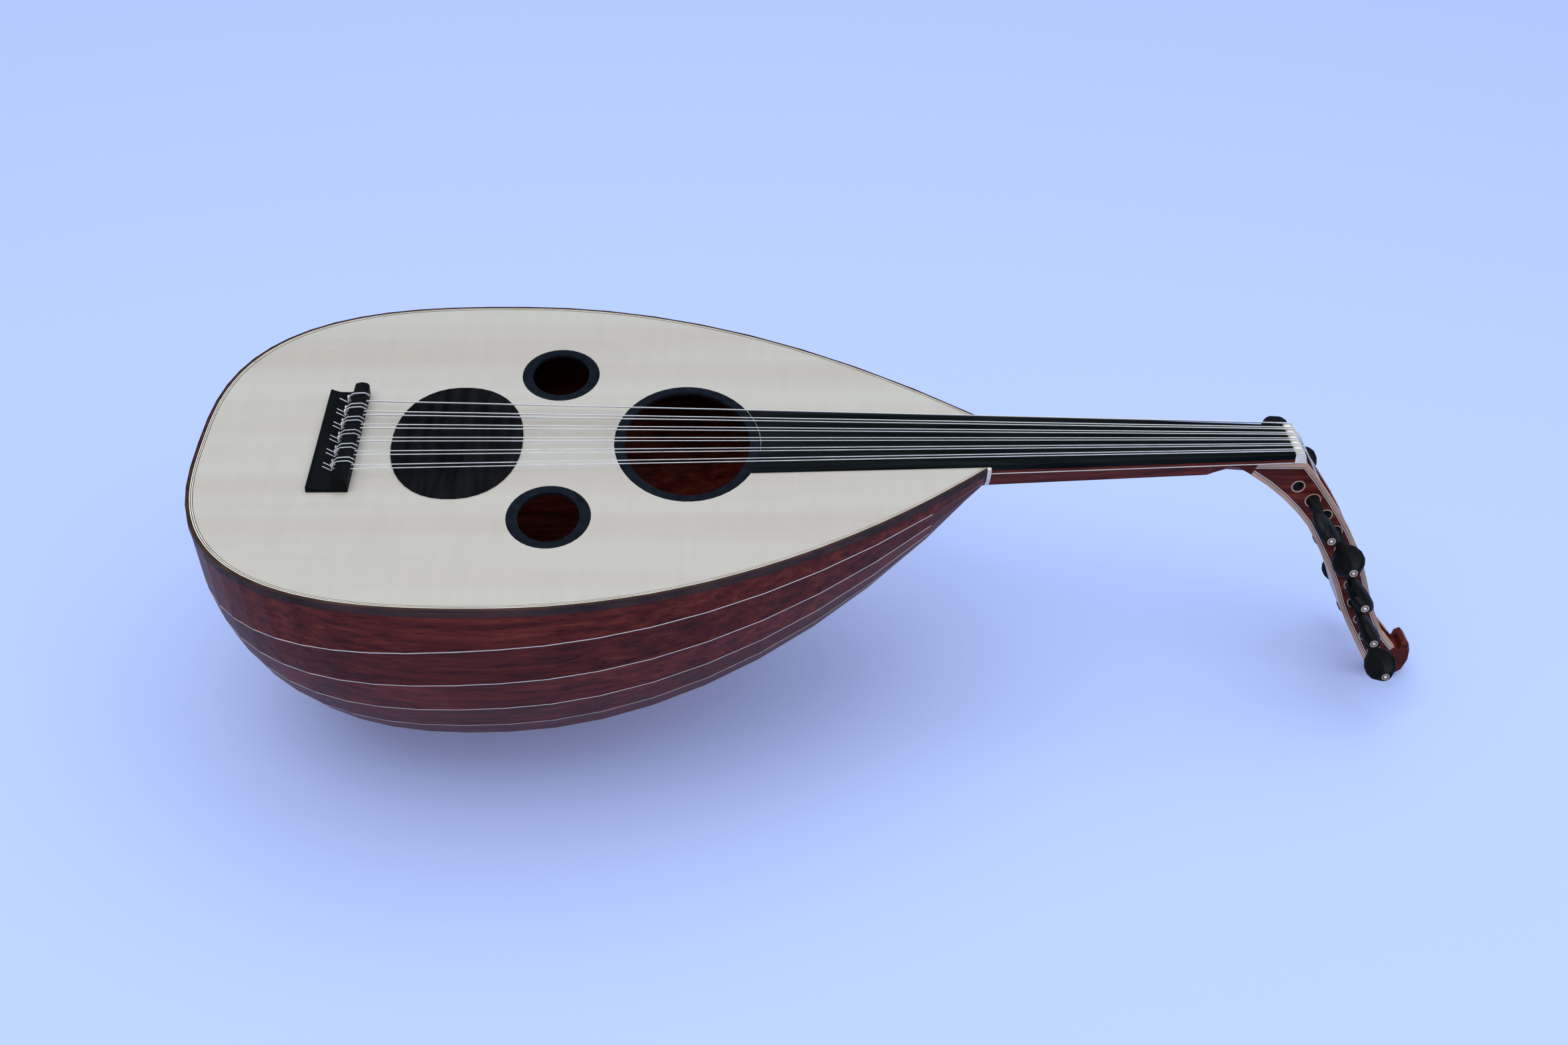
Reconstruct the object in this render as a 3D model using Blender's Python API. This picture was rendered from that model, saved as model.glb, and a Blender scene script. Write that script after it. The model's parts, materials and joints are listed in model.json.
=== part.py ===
"""Arabic oud lying on its bowl: ribbed bowl, soundboard, neck, bent-back pegbox, 11 pegs and 11 strings.

Metres, +Z up, +X from the tail to the neck. Everything is first placed in the instrument's own frame
(x = 0 at the front line of the bridge, z = 0 on top of the soundboard) and hangs on one empty, which
sets the instrument on its bowl and its finial with the origin under the middle of its bounding box.
"""
import math

import bmesh
import bpy
from mathutils import Matrix, Vector

# General
GAP = 0.0003
BORE_CLEARANCE = 0.00035
STATIONS = 24
STATION_POWER = 1.15

# Body
STRING_LENGTH = 0.610
BODY_LENGTH = 0.508
TAIL_LENGTH = 0.103
BODY_WIDTH = 0.359
BODY_DEPTH = 0.195
WIDEST_X = 0.095
DEEPEST_X = 0.080
JOINT_WIDTH = 0.066
JOINT_DEPTH = 0.026
TAIL_FULLNESS_PLAN = 2.8
TAIL_FULLNESS_SIDE = 2.4

# Ribs
RIB_COUNT = 19
RIB_THICKNESS = 0.003
SEAM_DROP_TAIL = 0.045
SEAM_DROP_NECK = 0.010
POLE_RADIUS = 0.0038

# Edge binding, an L-shaped strip whose ledge carries the soundboard
BINDING_WIDTH = 0.0022
BINDING_LEDGE = 0.0045
BINDING_HEIGHT = 0.0050
BINDING_PROUD = 0.0004

# Soundboard, sound holes and plates on it
BOARD_THICKNESS = 0.0020
MAIN_HOLE_X = 0.212
MAIN_RING_LENGTH = 0.095
MAIN_RING_WIDTH = 0.137
SMALL_HOLE_X = 0.126
SMALL_HOLE_Y = 0.0845
SMALL_RING_LENGTH = 0.052
SMALL_RING_WIDTH = 0.067
RING_BAND = 0.0068
PLATE_X = 0.063
PLATE_LENGTH = 0.0845
PLATE_WIDTH = 0.1316
PLATE_THICKNESS = 0.0008

# Braces and blocks inside the body
BRACE_XS = (0.158, 0.275)
BRACE_WIDTH = 0.006
BRACE_HEIGHT = 0.011
BLOCK_CLEARANCE = 0.0022
NECK_BLOCK_LENGTH = 0.040
TAIL_BLOCK_WIDTH = 0.060
TAIL_BLOCK_HEIGHT = 0.060
TAIL_BLOCK_LENGTH = 0.016

# Bridge
BRIDGE_WIDTH = 0.116
BRIDGE_LENGTH = 0.026
TIE_BLOCK_LENGTH = 0.0095
TIE_BLOCK_HEIGHT = 0.0098
APRON_HEIGHT = 0.0022
APRON_LIP = 0.0046
TIE_HOLE_HEIGHT = 0.0058
TIE_HOLE_RADIUS = 0.0010

# Neck, fingerboard, collar and nut
COLLAR_LENGTH = 0.0025
COLLAR_PROUD = 0.0005
FINGERBOARD_TOP = 0.0016
FINGERBOARD_EDGE = 0.0038
FINGERBOARD_END_WIDTH = 0.074
NECK_JOINT_WIDTH = 0.0615
NECK_JOINT_DEPTH = 0.0250
NUT_WIDTH = 0.0365
NUT_LENGTH = 0.0075
NUT_RISE = 0.0013
NECK_NUT_DEPTH = 0.0185
NECK_SIDE = 0.0030
PEGBOX_ROOT = 0.041

# Pegbox, as (ahead of the nut's front line, below the soundboard) points on its open and back edges
PEGBOX_OPEN_EDGE = [(0.0085, -0.0053), (0.0277, -0.0305), (0.0475, -0.0599), (0.0639, -0.0918),
                    (0.0754, -0.1228), (0.0894, -0.1510), (0.1013, -0.1654)]
PEGBOX_BACK_EDGE = [(-0.0405, -0.0058), (-0.0100, -0.0270), (0.0154, -0.0528), (0.0296, -0.0757),
                    (0.0452, -0.1043), (0.0585, -0.1355), (0.0850, -0.1830)]
PEG_LINE = [(0.0060, -0.0241), (0.0297, -0.0486), (0.0456, -0.0778), (0.0582, -0.1083),
            (0.0715, -0.1397), (0.0870, -0.1680)]
PEGBOX_STATIONS = 14
PEGBOX_TIP_WIDTH = 0.022
PEGBOX_TIP_DROP = 0.175
CHEEK_THICKNESS = 0.0042
PEGBOX_FLOOR = 0.0045
PEGBOX_FLOOR_TIP = 0.0018
FINIAL_REACH = 0.0300
FINIAL_WIDTH = 0.0190
FINIAL_HEIGHT = 0.0315

# Pegs
PEG_COUNT = 11
PEG_RADIUS = 0.0041
PEG_END_RADIUS = 0.0033
PEG_OUTSIDE = 0.0470
PEG_HEAD_LENGTH = 0.0320
PEG_HEAD_WIDTH = 0.0218
PEG_HEAD_THICKNESS = 0.0104
PEG_WAIST = 0.0064
PEG_EYE_RADIUS = 0.0036
PEG_RECESS = 0.0006
PEG_SIDES = 16
HEAD_TURNS = (35, -40, 30, 30, 10, -35, 40, -50, 20, 30, 25)

# Strings: one bass string and five pairs, from the far side to the near side
PAIR_SPACING_BRIDGE = 0.0159
PAIR_GAP_BRIDGE = 0.0044
PAIR_SPACING_NUT = 0.0066
PAIR_GAP_NUT = 0.0022
BASS_AT_BRIDGE = 0.0404
BASS_AT_NUT = 0.0168
TROUGH_MARGIN = 0.0014
STRING_DIAMETERS = (0.0011, 0.0010, 0.0009, 0.0008, 0.0007, 0.0007)
STRING_RISE = 0.0002
PEG_OF_STRING = (11, 1, 7, 2, 8, 3, 9, 4, 10, 5, 6)
WRAP_STEPS = 8
WRAP_ANGLE = 235

# What follows from the sizes above
BODY_HALF = BODY_WIDTH / 2
JOINT_X = BODY_LENGTH - TAIL_LENGTH
BODY_END_X = JOINT_X - GAP
NECK_START_X = JOINT_X + COLLAR_LENGTH + GAP
NUT_START_X = STRING_LENGTH
NUT_END_X = STRING_LENGTH + NUT_LENGTH
NECK_TOP = FINGERBOARD_TOP - FINGERBOARD_EDGE - GAP
NECK_LAYER_BOTTOM = NECK_TOP - NECK_SIDE + GAP
ROOT_X = STRING_LENGTH - PEGBOX_ROOT
RIB_TOP = -(BINDING_HEIGHT + GAP)
FINIAL_TIP_X = STRING_LENGTH + PEGBOX_BACK_EDGE[-1][0] + FINIAL_REACH

COLOURS = {
    "rib": ((0.20, 0.045, 0.035), 0.30), "binding": ((0.05, 0.03, 0.025), 0.40),
    "board": ((0.72, 0.62, 0.48), 0.55), "ebony": ((0.018, 0.018, 0.020), 0.35),
    "spruce": ((0.62, 0.50, 0.34), 0.60), "neck": ((0.22, 0.05, 0.04), 0.32),
    "bone": ((0.78, 0.74, 0.64), 0.35), "maple": ((0.60, 0.40, 0.26), 0.38),
    "wound": ((0.75, 0.76, 0.78), 0.30), "nylon": ((0.80, 0.82, 0.85), 0.15),
}

body_parts = bpy.data.collections.new("arabic_oud")
cutters = bpy.data.collections.new("cutters")


def clear_scene():
    for thing in list(bpy.data.objects):
        bpy.data.objects.remove(thing, do_unlink=True)
    bpy.context.scene.collection.children.link(body_parts)
    bpy.context.scene.collection.children.link(cutters)


def paint(thing, look):
    colour, roughness = COLOURS[look]
    material = bpy.data.materials.new(thing.name + "_" + look)
    material.use_nodes = True
    shader = material.node_tree.nodes["Principled BSDF"]
    shader.inputs["Base Color"].default_value = (*colour, 1.0)
    shader.inputs["Roughness"].default_value = roughness
    shader.inputs["Metallic"].default_value = 1.0 if look == "wound" else 0.0
    thing.data.materials.append(material)


def add_part(name, data, look, seat):
    thing = bpy.data.objects.new(name, data)
    body_parts.objects.link(thing)
    thing.parent = seat
    paint(thing, look)
    return thing


def loft_mesh(name, rings):
    """A closed body through rings of equal point counts, with a flat cap at each end."""
    shape = bmesh.new()
    rows = [[shape.verts.new(point) for point in ring] for ring in rings]
    count = len(rings[0])
    for row, following in zip(rows, rows[1:]):
        for i in range(count):
            k = (i + 1) % count
            shape.faces.new((row[i], row[k], following[k], following[i]))
    shape.faces.new(list(reversed(rows[0])))
    shape.faces.new(rows[-1])
    bmesh.ops.recalc_face_normals(shape, faces=shape.faces)
    mesh = bpy.data.meshes.new(name)
    shape.to_mesh(mesh)
    shape.free()
    return mesh


def loft(name, rings, look, seat, crease=35):
    mesh = loft_mesh(name, rings)
    mesh.shade_smooth()
    mesh.set_sharp_from_angle(angle=math.radians(crease))
    return add_part(name, mesh, look, seat)


def plate(name, outlines, thickness, bottom, look, seat):
    """A flat plate from 2D outlines, the first the rim and the others its holes."""
    curve = bpy.data.curves.new(name, "CURVE")
    curve.dimensions = "2D"
    curve.fill_mode = "BOTH"
    curve.extrude = thickness / 2
    for outline in outlines:
        spline = curve.splines.new("POLY")
        spline.points.add(len(outline) - 1)
        for point, (x, y) in zip(spline.points, outline):
            point.co = (x, y, 0.0, 1.0)
        spline.use_cyclic_u = True
    thing = add_part(name, curve, look, seat)
    thing.location = (0.0, 0.0, bottom + thickness / 2)
    return thing


def box(name, low, high, look, seat):
    bpy.ops.mesh.primitive_cube_add(size=1.0)
    thing = bpy.context.active_object
    for collection in list(thing.users_collection):
        collection.objects.unlink(thing)
    thing.name = name
    thing.data.transform(Matrix.Diagonal((*(b - a for a, b in zip(low, high)), 1.0)))
    thing.location = [(a + b) / 2 for a, b in zip(low, high)]
    thing.parent = seat
    if look:
        body_parts.objects.link(thing)
        paint(thing, look)
    else:
        cutters.objects.link(thing)
        thing.hide_render = True
        thing.display_type = "WIRE"
    return thing


def as_mesh(thing):
    """Turn a curve object into a mesh object of the same name, its caps welded."""
    name = thing.name
    look = thing.data.materials[0]
    bpy.context.view_layer.update()
    graph = bpy.context.evaluated_depsgraph_get()
    mesh = bpy.data.meshes.new_from_object(thing.evaluated_get(graph))
    shape = bmesh.new()
    shape.from_mesh(mesh)
    bmesh.ops.remove_doubles(shape, verts=shape.verts, dist=0.00001)
    shape.to_mesh(mesh)
    shape.free()
    place = thing.matrix_world.copy()
    seat = thing.parent
    bpy.data.objects.remove(thing, do_unlink=True)
    solid = bpy.data.objects.new(name, mesh)
    body_parts.objects.link(solid)
    solid.parent = seat
    solid.matrix_world = place
    if not mesh.materials:
        mesh.materials.append(look)
    return solid


def cut(thing, cutter, operation="DIFFERENCE"):
    change = thing.modifiers.new(operation.lower() + "_" + cutter.name, "BOOLEAN")
    change.operation = operation
    change.solver = "EXACT"
    change.object = cutter


def mix(a, b, share):
    return a + (b - a) * share


def smooth_curve(points, steps):
    """Evenly spaced points on a smooth curve through the given points."""
    dense = []
    last = len(points) - 1
    for i in range(last):
        before = points[max(i - 1, 0)]
        start = points[i]
        end = points[i + 1]
        after = points[min(i + 2, last)]
        for k in range(12):
            t = k / 12
            dense.append(tuple(
                0.5 * (2 * b + (c - a) * t + (2 * a - 5 * b + 4 * c - d) * t ** 2
                       + (3 * b - a - 3 * c + d) * t ** 3)
                for a, b, c, d in zip(before, start, end, after)))
    dense.append(tuple(points[-1]))
    lengths = [0.0]
    for a, b in zip(dense, dense[1:]):
        lengths.append(lengths[-1] + math.dist(a, b))
    spaced = []
    for n in range(steps + 1):
        goal = lengths[-1] * n / steps
        k = max(i for i in range(len(lengths) - 1) if lengths[i] <= goal + 1e-12)
        share = (goal - lengths[k]) / (lengths[k + 1] - lengths[k])
        spaced.append(tuple(mix(a, b, share) for a, b in zip(dense[k], dense[k + 1])))
    return spaced


# Shape of the body

def half_width(x, inset):
    """Half width of the body's outline, drawn in by inset."""
    tail = inset - TAIL_LENGTH
    if x <= WIDEST_X:
        share = min((WIDEST_X - x) / (WIDEST_X - tail), 1.0)
        return (BODY_HALF - inset) * (1 - share ** TAIL_FULLNESS_PLAN) ** (1 / TAIL_FULLNESS_PLAN)
    share = (x - WIDEST_X) / (JOINT_X - WIDEST_X)
    return JOINT_WIDTH / 2 - inset + (BODY_HALF - JOINT_WIDTH / 2) * (1 - share ** 2)


def depth(x, inset):
    """Depth of the bowl under the soundboard's top, drawn in by inset."""
    tail = inset - TAIL_LENGTH
    if x <= DEEPEST_X:
        share = min((DEEPEST_X - x) / (DEEPEST_X - tail), 1.0)
        return (BODY_DEPTH - inset) * (1 - share ** TAIL_FULLNESS_SIDE) ** (1 / TAIL_FULLNESS_SIDE)
    share = (x - DEEPEST_X) / (JOINT_X - DEEPEST_X)
    return JOINT_DEPTH - inset + (BODY_DEPTH - JOINT_DEPTH) * (1 - share ** 2)


def seam_axis(x):
    """Height of the line that all the seams' planes pass through."""
    share = (x + TAIL_LENGTH) / BODY_LENGTH
    return -mix(SEAM_DROP_TAIL, SEAM_DROP_NECK, share)


def on_bowl(x, angle, shift, inset):
    """Where a ray from the seam axis meets the bowl; angle 0 points to -Y and 90 degrees down."""
    across = (-math.cos(angle), -math.sin(angle))
    start = (-math.sin(angle) * -shift, seam_axis(x) - math.cos(angle) * shift)
    a = half_width(x, inset)
    b = depth(x, inset)
    square = (across[0] / a) ** 2 + (across[1] / b) ** 2
    middle = start[0] * across[0] / a ** 2 + start[1] * across[1] / b ** 2
    rest = (start[0] / a) ** 2 + (start[1] / b) ** 2 - 1
    reach = (-middle + math.sqrt(max(middle ** 2 - square * rest, 0.0))) / square
    return (x, start[0] + across[0] * reach, start[1] + across[1] * reach)


def pole_x(inset):
    """Where the bowl's middle line at the tail crosses the seam axis."""
    low = inset - TAIL_LENGTH
    high = 0.0
    for _ in range(50):
        middle = (low + high) / 2
        if depth(middle, inset) < -seam_axis(middle):
            low = middle
        else:
            high = middle
    return high


def seam_start(angle, inset):
    """The x at which a seam is clear of the pole by its radius."""
    low = pole_x(inset)
    pole = (low, 0.0, seam_axis(low))
    high = 0.0
    for _ in range(50):
        middle = (low + high) / 2
        if math.dist(on_bowl(middle, angle, 0.0, inset), pole) < POLE_RADIUS:
            low = middle
        else:
            high = middle
    return high


def station_xs(start):
    shares = [1 - math.cos(math.pi / 2 * n / STATIONS) for n in range(STATIONS + 1)]
    return [start + (BODY_END_X - start) * share ** STATION_POWER for share in shares]


def seam_points(seam, side, inset):
    """One edge of a rib, a gap's half off the seam; side is +1 on the seam's far rib, -1 on its near."""
    angle = math.pi * (seam - 1) / (RIB_COUNT - 2)
    start = seam_start(angle, inset)
    return [on_bowl(x, angle, side * GAP / 2, inset) for x in station_xs(start)]


def rim_points(hand, drop, inset):
    """The rim at a height below the soundboard's top; hand is -1 on the near side, +1 on the far."""
    low = inset - TAIL_LENGTH
    high = 0.0
    for _ in range(50):
        middle = (low + high) / 2
        if depth(middle, inset) < drop + GAP:
            low = middle
        else:
            high = middle
    points = []
    for x in station_xs(high):
        y = half_width(x, inset) * math.sqrt(1 - (drop / depth(x, inset)) ** 2)
        points.append((x, hand * max(y, GAP / 2), -drop))
    return points


def outline(inset):
    """The body's plan outline drawn in by inset, from the near end round the tail to the far end."""
    xs = station_xs(inset - TAIL_LENGTH)
    near = [(x, -half_width(x, inset)) for x in reversed(xs)]
    far = [(x, half_width(x, inset)) for x in xs[1:]]
    return near + far


def oval(x, y, length, width, sides, fullness=2.0):
    points = []
    for n in range(sides):
        angle = 2 * math.pi * (n + 0.5) / sides
        c = math.cos(angle)
        s = math.sin(angle)
        points.append((x + math.copysign(abs(c) ** (2 / fullness), c) * length / 2,
                       y + math.copysign(abs(s) ** (2 / fullness), s) * width / 2))
    return points


def make_ribs(seat):
    outer = BINDING_PROUD
    inner = BINDING_PROUD + RIB_THICKNESS
    lowest = 0.0
    for rib in range(1, RIB_COUNT + 1):
        edges = []
        for inset in (outer, inner):
            if rib == 1:
                first = rim_points(-1, -RIB_TOP, inset)
                second = wall_edge(1, inset)
            elif rib == RIB_COUNT:
                first = wall_edge(RIB_COUNT - 1, inset)
                second = rim_points(1, -RIB_TOP, inset)
            else:
                first = seam_points(rib - 1, 1, inset)
                second = seam_points(rib, -1, inset)
            edges.append((first, second))
        rings = [[a, b, d, c] for a, b, c, d in zip(*edges[0], *edges[1])]
        loft("rib_%02d" % rib, rings, "rib", seat, crease=60)
        lowest = min(lowest, min(point[2] for ring in rings for point in ring))
    return lowest


def wall_edge(seam, inset):
    """The lower edge of a rib at the rim, which runs on round the tail to the middle line."""
    side = -1 if seam == 1 else 1
    angle = math.pi * (seam - 1) / (RIB_COUNT - 2)
    points = []
    for x in station_xs(pole_x(inset)):
        _, y, z = on_bowl(x, angle, side * GAP / 2, inset)
        points.append((x, side * max(side * y, GAP / 2), z))
    return points


def make_binding(seat):
    outer = outline(0.0)
    upper = outline(BINDING_WIDTH)
    ledge = outline(BINDING_LEDGE)
    shelf = -(BOARD_THICKNESS + GAP)
    rings = []
    for (x, y), (ux, uy), (lx, ly) in zip(outer, upper, ledge):
        rings.append([(x, y, 0.0), (ux, uy, 0.0), (ux, uy, shelf), (lx, ly, shelf),
                      (lx, ly, -BINDING_HEIGHT), (x, y, -BINDING_HEIGHT)])
    loft("edge_binding", rings, "binding", seat)


def make_soundboard(seat):
    rim = outline(BINDING_WIDTH + GAP)
    holes = [oval(MAIN_HOLE_X, 0.0, MAIN_RING_LENGTH + 2 * GAP, MAIN_RING_WIDTH + 2 * GAP, 48)]
    for hand in (-1, 1):
        holes.append(oval(SMALL_HOLE_X, hand * SMALL_HOLE_Y, SMALL_RING_LENGTH + 2 * GAP,
                          SMALL_RING_WIDTH + 2 * GAP, 36))
    plate("soundboard", [rim] + holes, BOARD_THICKNESS, -BOARD_THICKNESS, "board", seat)


def make_rings(seat):
    rings = (("main_hole_ring", MAIN_HOLE_X, 0.0, MAIN_RING_LENGTH, MAIN_RING_WIDTH, 48),
             ("near_hole_ring", SMALL_HOLE_X, -SMALL_HOLE_Y, SMALL_RING_LENGTH, SMALL_RING_WIDTH, 36),
             ("far_hole_ring", SMALL_HOLE_X, SMALL_HOLE_Y, SMALL_RING_LENGTH, SMALL_RING_WIDTH, 36))
    for name, x, y, length, width, sides in rings:
        outer = oval(x, y, length, width, sides)
        inner = oval(x, y, length - 2 * RING_BAND, width - 2 * RING_BAND, sides)
        plate(name, [outer, inner], BOARD_THICKNESS, -BOARD_THICKNESS, "ebony", seat)
    shape = oval(PLATE_X, 0.0, PLATE_LENGTH, PLATE_WIDTH, 40, fullness=2.2)
    plate("strike_plate", [shape], PLATE_THICKNESS, GAP, "ebony", seat)


def make_inside(seat):
    for number, x in enumerate(BRACE_XS, 1):
        reach = half_width(x + BRACE_WIDTH / 2, BINDING_LEDGE) - RIB_THICKNESS
        top = -(BOARD_THICKNESS + GAP)
        box("brace_%d" % number, (x - BRACE_WIDTH / 2, -reach, top - BRACE_HEIGHT),
            (x + BRACE_WIDTH / 2, reach, top), "spruce", seat)
    inset = BINDING_PROUD + RIB_THICKNESS + BLOCK_CLEARANCE
    top = -(BINDING_HEIGHT + GAP)
    rings = []
    for n in range(4):
        x = BODY_END_X - NECK_BLOCK_LENGTH * (1 - n / 3)
        ring = []
        for seam in range(1, RIB_COUNT):
            angle = math.pi * (seam - 1) / (RIB_COUNT - 2)
            ring.append(on_bowl(x, angle, 0.0, inset))
        flank = half_width(x, inset + BINDING_LEDGE - BINDING_WIDTH)
        ring.append((x, flank, top))
        ring.append((x, -flank, top))
        rings.append(ring)
    loft("neck_block", rings, "spruce", seat)
    rings = []
    for n in range(9):
        y = TAIL_BLOCK_WIDTH * (n / 8 - 0.5)
        ring = []
        for k in range(6):
            z = top - TAIL_BLOCK_HEIGHT * k / 5
            ring.append((wall_x(y, z, inset), y, z))
        inner_x = TAIL_BLOCK_LENGTH - TAIL_LENGTH + RIB_THICKNESS
        ring.append((inner_x + TAIL_BLOCK_LENGTH / 2, y, top - TAIL_BLOCK_HEIGHT))
        ring.append((inner_x, y, top))
        rings.append(ring)
    loft("tail_block", rings, "spruce", seat)


def wall_x(y, z, inset):
    """The x of the bowl's wall at the tail for a place across and a height."""
    low = inset - TAIL_LENGTH
    high = 0.0
    for _ in range(50):
        middle = (low + high) / 2
        a = half_width(middle, inset)
        b = depth(middle, inset)
        if a <= 0 or b <= 0 or (y / a) ** 2 + (z / b) ** 2 > 1:
            low = middle
        else:
            high = middle
    return high


def string_places(spacing, pair_gap, bass):
    """Places across of the 11 strings, bass first, then five pairs towards the near side."""
    places = [bass]
    for pair in range(1, 6):
        middle = bass - spacing * pair + spacing * 0.06
        places.append(middle + pair_gap / 2)
        places.append(middle - pair_gap / 2)
    return places


def make_bridge(seat):
    top = GAP + TIE_BLOCK_HEIGHT
    back = -TIE_BLOCK_LENGTH
    end = -BRIDGE_LENGTH
    round_off = TIE_BLOCK_LENGTH * 0.25
    profile = [(0.0, GAP), (0.0, top - round_off), (-round_off / 2, top - round_off / 3),
               (back / 2, top), (back + round_off / 2, top - round_off / 3), (back, top - round_off),
               (back - 0.0004, APRON_HEIGHT + 0.0012), (back - 0.003, APRON_HEIGHT),
               (mix(back, end, 0.62), APRON_HEIGHT + 0.0002), (end + 0.0022, APRON_LIP - 0.0008),
               (end + 0.0007, APRON_LIP), (end, APRON_LIP - 0.0008), (end, GAP)]
    half = BRIDGE_WIDTH / 2
    rings = [[(x, y, z) for x, z in profile] for y in (-half, half)]
    bridge = loft("bridge", rings, "ebony", seat)
    holes = []
    for y in string_places(PAIR_SPACING_BRIDGE, PAIR_GAP_BRIDGE, BASS_AT_BRIDGE):
        turn = Matrix.Translation((back / 2, y, GAP + TIE_HOLE_HEIGHT)) @ Matrix.Rotation(math.pi / 2, 4, "Y")
        holes.append((turn, TIE_HOLE_RADIUS, TIE_HOLE_RADIUS, TIE_BLOCK_LENGTH * 1.6))
    cut(bridge, cone_cutters("tie_holes", holes, 8, seat))


def cone_cutters(name, cones, sides, seat):
    shape = bmesh.new()
    for place, radius, far_radius, length in cones:
        bmesh.ops.create_cone(shape, cap_ends=True, segments=sides, radius1=radius,
                              radius2=far_radius, depth=length, matrix=place)
    mesh = bpy.data.meshes.new(name)
    shape.to_mesh(mesh)
    shape.free()
    thing = bpy.data.objects.new(name, mesh)
    cutters.objects.link(thing)
    thing.parent = seat
    thing.hide_render = True
    thing.display_type = "WIRE"
    return thing


def neck_half(x):
    """Half width of the neck and fingerboard."""
    share = (x - JOINT_X) / (STRING_LENGTH - JOINT_X)
    return mix(NECK_JOINT_WIDTH, NUT_WIDTH, share) / 2


def make_fingerboard(seat):
    """A thin tongue on the soundboard up to the main hole's ring, thicker over the neck."""
    half_ring = MAIN_RING_WIDTH / 2 + GAP
    end_half = FINGERBOARD_END_WIDTH / 2
    tongue = []
    for n in range(9):
        y = end_half * (1 - 2 * n / 8)
        x = MAIN_HOLE_X + (MAIN_RING_LENGTH / 2 + 2 * GAP) * math.sqrt(1 - (y / half_ring) ** 2)
        tongue.append((x, y))
    nut_x = NUT_START_X - GAP
    shape = tongue + [(JOINT_X, -neck_half(JOINT_X)), (nut_x, -neck_half(nut_x)),
                      (nut_x, neck_half(nut_x)), (JOINT_X, neck_half(JOINT_X))]
    board = plate("fingerboard", [shape], FINGERBOARD_EDGE, FINGERBOARD_TOP - FINGERBOARD_EDGE,
                  "ebony", seat)
    board = as_mesh(board)
    under = box("tongue_relief", (MAIN_HOLE_X - BODY_HALF, -BODY_HALF, -BODY_DEPTH),
                (NECK_START_X, BODY_HALF, GAP), None, seat)
    cut(board, under)


def neck_ring(x, half, tenon, lower, sides=7):
    """A neck section: a flat-topped layer above, and a rounded belly or a tenon below it."""
    ring = [(x, half, NECK_TOP), (x, half, NECK_LAYER_BOTTOM)]
    for n in range(sides):
        angle = math.pi * n / (sides - 1)
        c = math.cos(angle)
        across = tenon * math.copysign(abs(c) ** 0.9, c)
        ring.append((x, across, NECK_LAYER_BOTTOM - GAP - (lower + NECK_LAYER_BOTTOM) * math.sin(angle) ** 0.9))
    ring += [(x, -half, NECK_LAYER_BOTTOM), (x, -half, NECK_TOP)]
    return ring


def tenon_half(z):
    return pegbox_half(z) - CHEEK_THICKNESS - GAP


def make_neck(seat):
    rings = []
    for share in (0.0, 0.35, 0.7, 0.9):
        x = mix(NECK_START_X, ROOT_X, share)
        lower = mix(NECK_JOINT_DEPTH, NECK_NUT_DEPTH, (x - JOINT_X) / (STRING_LENGTH - JOINT_X))
        rings.append(neck_ring(x, neck_half(x), neck_half(x) - GAP / 2, lower))
    back_depths = smooth_curve(PEGBOX_BACK_EDGE, 24)
    end_x = NUT_START_X - GAP
    for share in (0.0, 0.5, 1.0):
        x = mix(ROOT_X - GAP, end_x, share)
        back = min(back_depths, key=lambda point: abs(point[0] + STRING_LENGTH - x))[1]
        lower = max(NECK_NUT_DEPTH - 0.002 * share, -back - 0.001)
        half = neck_half(x)
        rings.append(neck_ring(x, half, min(tenon_half(-lower), half), lower))
    loft("neck", rings, "neck", seat)


def make_collar(seat):
    """The pale ring between body and neck, a half-oval slab a little proud of both."""
    rings = []
    for x in (JOINT_X, JOINT_X + COLLAR_LENGTH):
        ring = []
        for n in range(15):
            angle = math.pi * n / 14
            ring.append((x, (JOINT_WIDTH / 2 + COLLAR_PROUD) * math.cos(angle),
                         -(JOINT_DEPTH + COLLAR_PROUD) * math.sin(angle)))
        rings.append(ring)
    loft("neck_collar", rings, "bone", seat)


def make_nut(seat):
    bottom = NECK_LAYER_BOTTOM
    top = FINGERBOARD_TOP + NUT_RISE
    start = NUT_START_X
    end = NUT_END_X
    profile = [(start, bottom), (start, top - 0.0008), (start + 0.0008, top), (mix(start, end, 0.45), top),
               (mix(start, end, 0.75), top - 0.0008), (end - 0.0006, top - 0.0025), (end, top - 0.005),
               (end, bottom)]
    half = NUT_WIDTH / 2
    rings = [[(x, side * (half - edge), z) for x, z in profile]
             for side, edge in ((-1, 0.0), (1, 0.0))]
    loft("nut", rings, "bone", seat)


# Pegbox

def pegbox_half(z):
    """The pegbox's half width, which falls evenly with the height."""
    return mix(NUT_WIDTH, PEGBOX_TIP_WIDTH, min(-z / PEGBOX_TIP_DROP, 1.0)) / 2


def nut_frame(points):
    return [(x + STRING_LENGTH, z) for x, z in points]


def pegbox_edges():
    """Matched points of the open and the back edge, from the root under the neck to the tip."""
    top = NECK_LAYER_BOTTOM - 2 * GAP
    back = smooth_curve(nut_frame(PEGBOX_BACK_EDGE), PEGBOX_STATIONS)
    front = smooth_curve(nut_frame(PEGBOX_OPEN_EDGE), PEGBOX_STATIONS - 3)
    corner_x = front[0][0]
    rows = []
    for n, rear in enumerate(back):
        if n < 3:
            ahead = (mix(ROOT_X + 0.001, corner_x, n / 3), top)
        else:
            ahead = (front[n - 3][0], min(front[n - 3][1], top))
        rows.append((ahead, (rear[0], min(rear[1], top - GAP))))
    return rows


def peg_places():
    return smooth_curve(nut_frame(PEG_LINE), PEG_COUNT - 1)


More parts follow.
